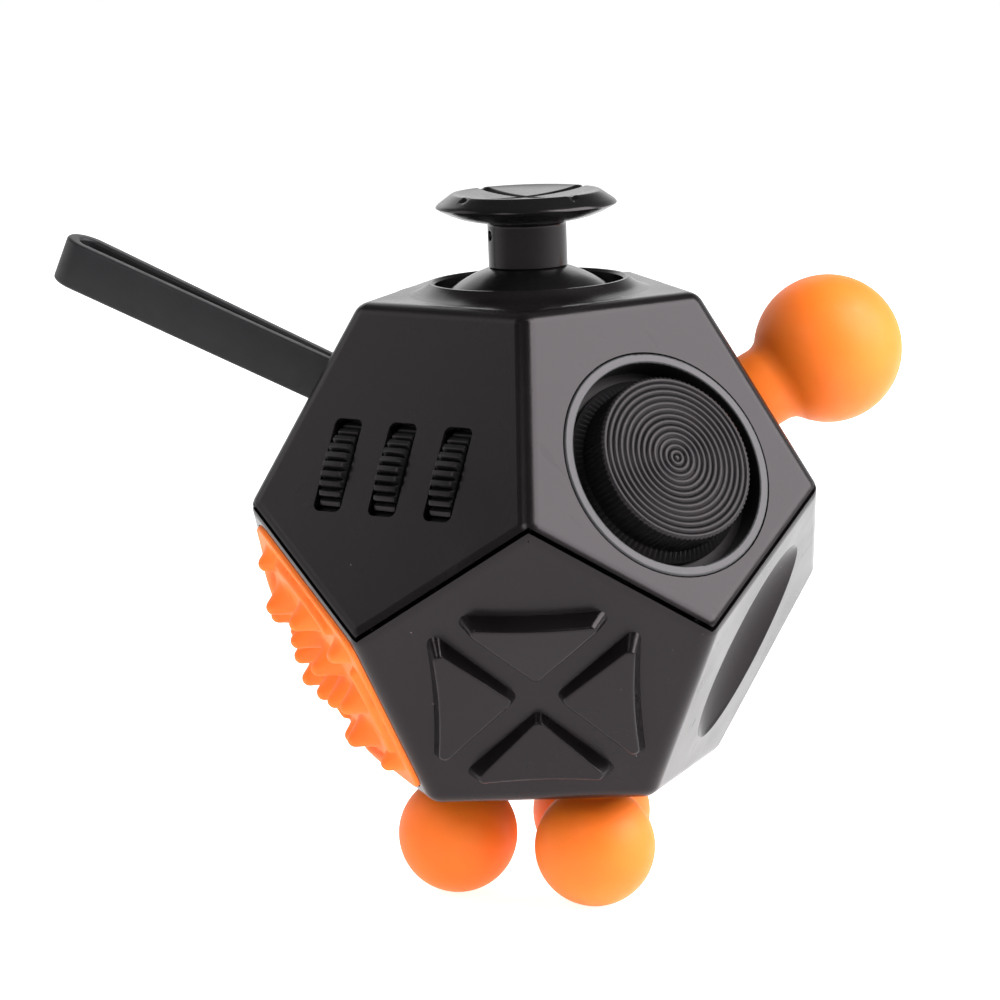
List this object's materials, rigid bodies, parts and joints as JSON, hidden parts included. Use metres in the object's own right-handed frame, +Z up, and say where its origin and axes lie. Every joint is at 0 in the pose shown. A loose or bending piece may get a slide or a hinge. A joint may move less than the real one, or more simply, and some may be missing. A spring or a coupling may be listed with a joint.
{
  "type": "fidget cube",
  "caption": "Twelve-sided black fidget toy with a thumb joystick, toothed wheels, a ridged dial, click buttons, a rocker, a steel ball, bendable orange balls, a spiked pad and a strap.",
  "frame": {"origin": "bottom centre of the bounding box, at the height of the plane that the three feet stand on", "axes": "+Z up through the joystick at rest, +X across the toy towards the large bendable ball and away from the strap, -Y towards the lower face with the cross between four raised triangles"},
  "size_m": [0.0806, 0.0542, 0.066],
  "materials": {
    "shell_plastic": "semi-gloss black moulded plastic",
    "stick_plastic": "semi-gloss black moulded plastic",
    "dial_plastic": "satin black moulded plastic with turned rings",
    "wheel_plastic": "matt black moulded plastic",
    "orange_silicone": "matt orange silicone rubber",
    "strap_silicone": "matt black silicone rubber",
    "button_plastic": "satin black moulded plastic",
    "inner_plastic": "plain black moulded plastic",
    "pin_steel": "ground steel",
    "spring_steel": "bright spring steel",
    "screw_steel": "zinc-plated steel",
    "ball_chrome": "polished steel"
  },
  "bodies": {
    "housing": {"upper_shell": "shell_plastic", "lower_shell": "shell_plastic", "inner_frame": "inner_plastic", "frame_screws": "screw_steel", "stick_base": "inner_plastic", "stick_screws": "screw_steel", "stick_spring": "spring_steel", "wheel_axle": "pin_steel", "axle_clips": "inner_plastic", "dial_cup": "dial_plastic", "dial_click_ring": "spring_steel", "big_ball_root": "orange_silicone", "foot_pad": "orange_silicone", "foot_retainer": "inner_plastic", "foot_screws": "screw_steel", "strap_bar": "pin_steel", "spike_pad": "orange_silicone", "button_carrier": "inner_plastic", "carrier_screws": "screw_steel", "switch_housing": "button_plastic", "rocker_pin": "pin_steel", "rocker_leaf": "spring_steel", "roller_cup": "inner_plastic", "button_spring_1": "spring_steel", "button_spring_2": "spring_steel", "button_spring_3": "spring_steel", "button_spring_4": "spring_steel", "button_spring_5": "spring_steel"},
    "yoke": {"stick_yoke": "inner_plastic"},
    "stick": {"joystick_cap": "stick_plastic", "joystick_dome": "stick_plastic", "stick_cross_pin": "pin_steel"},
    "wheel_1": {"thumb_wheel_1": "wheel_plastic"},
    "wheel_2": {"thumb_wheel_2": "wheel_plastic"},
    "wheel_3": {"thumb_wheel_3": "wheel_plastic"},
    "dial": {"dial": "dial_plastic", "dial_clip": "spring_steel"},
    "big_ball": {"big_ball": "orange_silicone"},
    "strap": {"strap": "strap_silicone"},
    "rocker": {"rocker": "button_plastic"},
    "roller": {"roller_ball": "ball_chrome"},
    "foot_ball_1": {"foot_ball_1": "orange_silicone"},
    "foot_ball_2": {"foot_ball_2": "orange_silicone"},
    "foot_ball_3": {"foot_ball_3": "orange_silicone"},
    "button_1": {"button_1": "button_plastic"},
    "button_2": {"button_2": "button_plastic"},
    "button_3": {"button_3": "button_plastic"},
    "button_4": {"button_4": "button_plastic"},
    "button_5": {"button_5": "button_plastic"}
  },
  "joints": [
    {"name": "joystick_rock", "type": "hinge", "parent": "housing", "child": "yoke", "pos_m": [0.00559, 0, 0.04785], "axis": [1, 0, 0], "range_deg": [-18, 18], "stiffness_Nm_per_rad": 0.03, "deforming": ["stick_spring"]},
    {"name": "joystick_tilt", "type": "hinge", "parent": "yoke", "child": "stick", "pos_m": [0.00559, 0, 0.04785], "axis": [0, 1, 0], "range_deg": [-18, 18], "stiffness_Nm_per_rad": 0.03},
    {"name": "wheel_1_spin", "type": "hinge", "parent": "housing", "child": "wheel_1", "pos_m": [-0.00899, -0.00825, 0.04026], "axis": [0.809, -0.5878, 0], "continuous": true},
    {"name": "wheel_2_spin", "type": "hinge", "parent": "housing", "child": "wheel_2", "pos_m": [-0.00384, -0.01199, 0.04026], "axis": [0.809, -0.5878, 0], "continuous": true},
    {"name": "wheel_3_spin", "type": "hinge", "parent": "housing", "child": "wheel_3", "pos_m": [0.0013, -0.01573, 0.04026], "axis": [0.809, -0.5878, 0], "continuous": true},
    {"name": "dial_spin", "type": "hinge", "parent": "housing", "child": "dial", "pos_m": [0.01791, -0.01628, 0.04268], "axis": [0.5257, -0.7236, 0.4472], "continuous": true},
    {"name": "big_ball_bend", "type": "hinge", "parent": "housing", "child": "big_ball", "pos_m": [0.025, 0.00631, 0.04491], "axis": [-0.309, 0.9511, 0], "range_deg": [-20, 20], "stiffness_Nm_per_rad": 0.02},
    {"name": "foot_ball_1_bend", "type": "hinge", "parent": "housing", "child": "foot_ball_1", "pos_m": [-0.00291, -0.0003, 0.01123], "axis": [0.0349, -0.9994, 0], "range_deg": [-12, 12], "stiffness_Nm_per_rad": 0.05},
    {"name": "foot_ball_2_bend", "type": "hinge", "parent": "housing", "child": "foot_ball_2", "pos_m": [0.01009, -0.00721, 0.01123], "axis": [0.848, 0.5299, 0], "range_deg": [-12, 12], "stiffness_Nm_per_rad": 0.05},
    {"name": "foot_ball_3_bend", "type": "hinge", "parent": "housing", "child": "foot_ball_3", "pos_m": [0.00958, 0.00751, 0.01123], "axis": [-0.8829, 0.4695, 0], "range_deg": [-12, 12], "stiffness_Nm_per_rad": 0.05},
    {"name": "strap_swing", "type": "hinge", "parent": "housing", "child": "strap", "pos_m": [-0.00956, 0.00492, 0.04628], "axis": [0.3807, -0.1237, 0.9164], "range_deg": [-25, 25], "stiffness_Nm_per_rad": 0.004},
    {"name": "button_1_press", "type": "slide", "parent": "housing", "child": "button_1", "axis": [0, -0.8944, -0.4472], "range_m": [0, 0.0011], "stiffness_N_per_m": 600, "springref_m": -0.0003, "deforming": ["button_spring_1"]},
    {"name": "button_2_press", "type": "slide", "parent": "housing", "child": "button_2", "axis": [0, -0.8944, -0.4472], "range_m": [0, 0.0011], "stiffness_N_per_m": 600, "springref_m": -0.0003, "deforming": ["button_spring_2"]},
    {"name": "button_3_press", "type": "slide", "parent": "housing", "child": "button_3", "axis": [0, -0.8944, -0.4472], "range_m": [0, 0.0011], "stiffness_N_per_m": 600, "springref_m": -0.0003, "deforming": ["button_spring_3"]},
    {"name": "button_4_press", "type": "slide", "parent": "housing", "child": "button_4", "axis": [0, -0.8944, -0.4472], "range_m": [0, 0.0011], "stiffness_N_per_m": 600, "springref_m": -0.0003, "deforming": ["button_spring_4"]},
    {"name": "button_5_press", "type": "slide", "parent": "housing", "child": "button_5", "axis": [0, -0.8944, -0.4472], "range_m": [0, 0.0011], "stiffness_N_per_m": 600, "springref_m": -0.0003, "deforming": ["button_spring_5"]},
    {"name": "rocker_flip", "type": "hinge", "parent": "housing", "child": "rocker", "pos_m": [0.01614, 0.01452, 0.02472], "axis": [-0.809, 0.5878, 0], "range_deg": [-20, 0]},
    {"name": "roller_spin", "type": "hinge", "parent": "housing", "child": "roller", "pos_m": [-0.00438, 0.01373, 0.02522], "axis": [-0.809, -0.5878, 0], "continuous": true}
  ]
}
